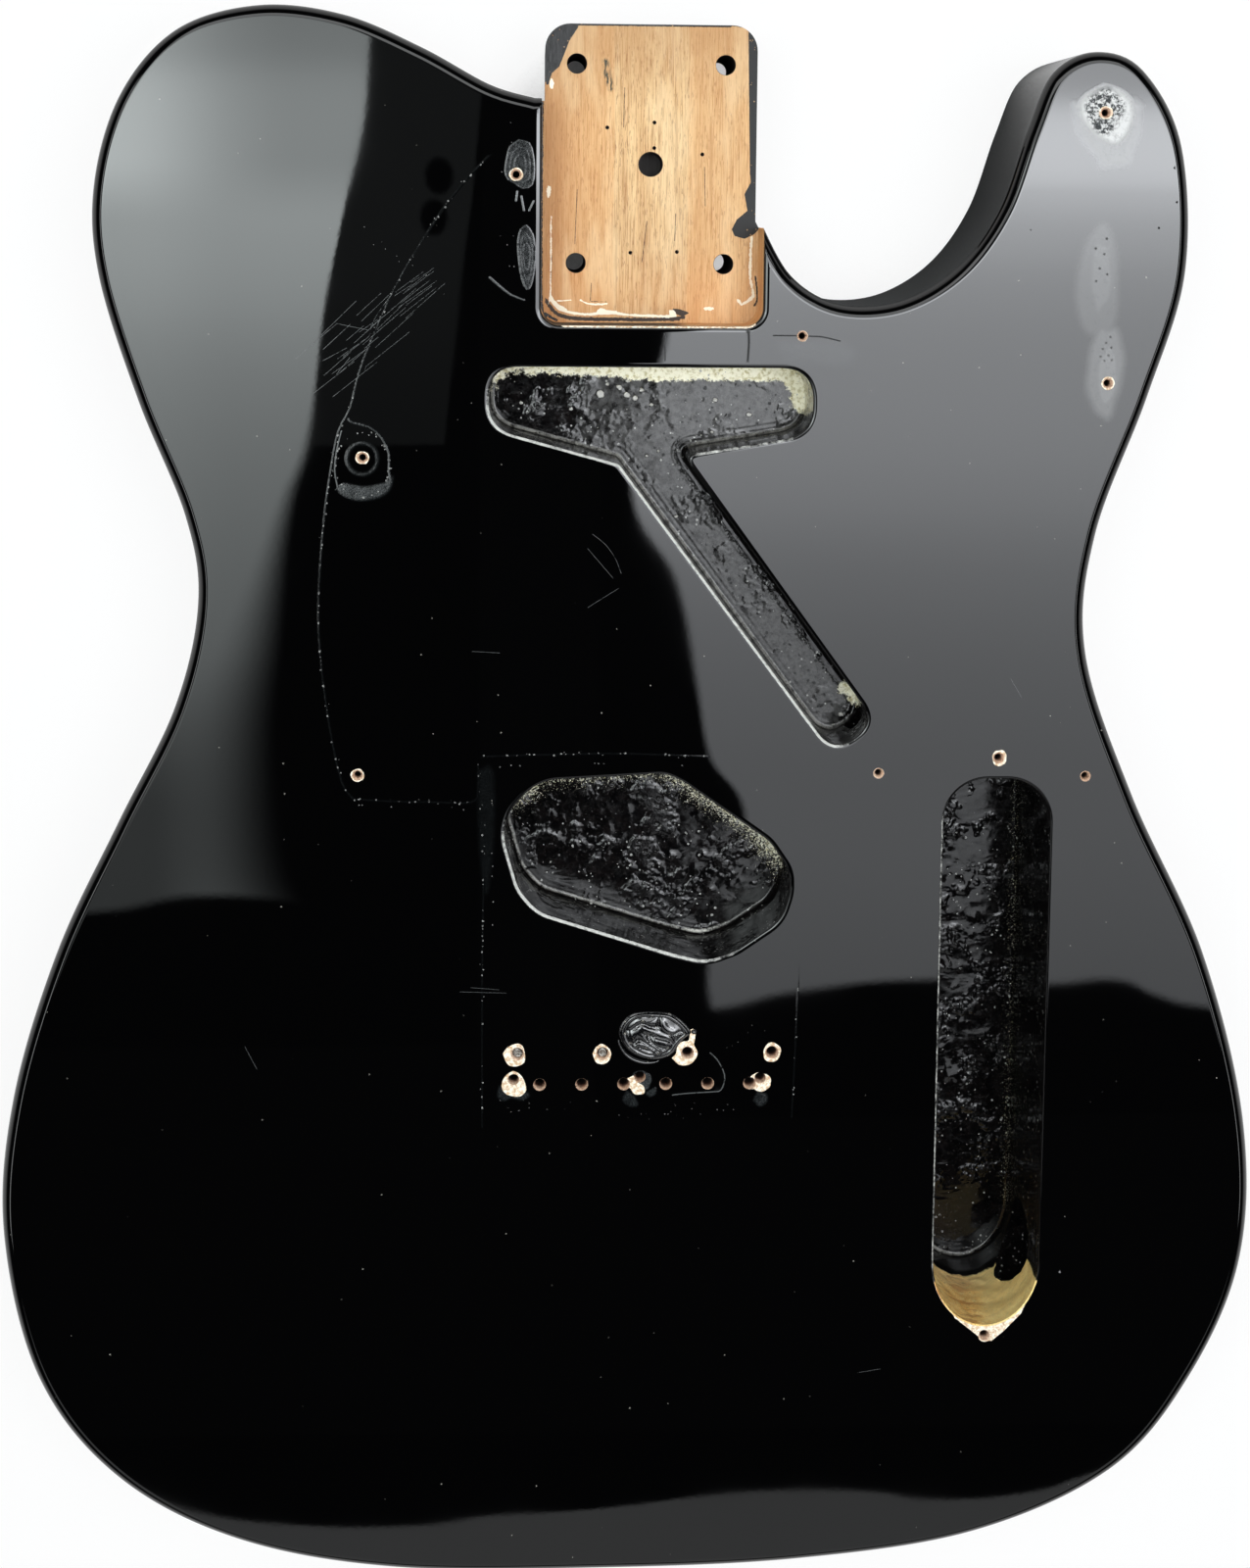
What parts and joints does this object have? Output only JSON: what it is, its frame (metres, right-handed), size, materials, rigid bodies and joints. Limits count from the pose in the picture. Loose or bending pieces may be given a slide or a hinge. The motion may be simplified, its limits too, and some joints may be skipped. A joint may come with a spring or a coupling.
{
  "type": "electric guitar body",
  "caption": "Single-cut solid wooden guitar body, glued from planks and lacquered black, with a bare neck pocket, pickup routs, a control cavity and a jack bore.",
  "frame": {"origin": "on the resting plane, under the middle of the body's bounding box; the body lies on its back", "axes": "+X to the treble side as the face is looked at with the neck up, +Y towards the neck, +Z out of the face"},
  "size_m": [0.3262, 0.4092, 0.0455],
  "materials": {
    "black_lacquered_wood": "thick black gloss lacquer over wood, dusty and scuffed, with bare tan wood in the neck pocket and on the end wall of the control cavity",
    "nickel_plated_brass": "dull nickel plate",
    "broken_screw_steel": "snapped, tarnished steel",
    "black_filler": "hardened black filler, semi-gloss"
  },
  "bodies": {
    "root": {"bass_outer_plank": "black_lacquered_wood", "bass_inner_plank": "black_lacquered_wood", "treble_inner_plank": "black_lacquered_wood", "treble_outer_plank": "black_lacquered_wood", "string_ferrule_1": "nickel_plated_brass", "string_ferrule_2": "nickel_plated_brass", "string_ferrule_3": "nickel_plated_brass", "string_ferrule_4": "nickel_plated_brass", "string_ferrule_5": "nickel_plated_brass", "string_ferrule_6": "nickel_plated_brass", "broken_bridge_screw_1": "broken_screw_steel", "broken_bridge_screw_2": "broken_screw_steel", "filler_lump": "black_filler"}
  },
  "joints": []
}
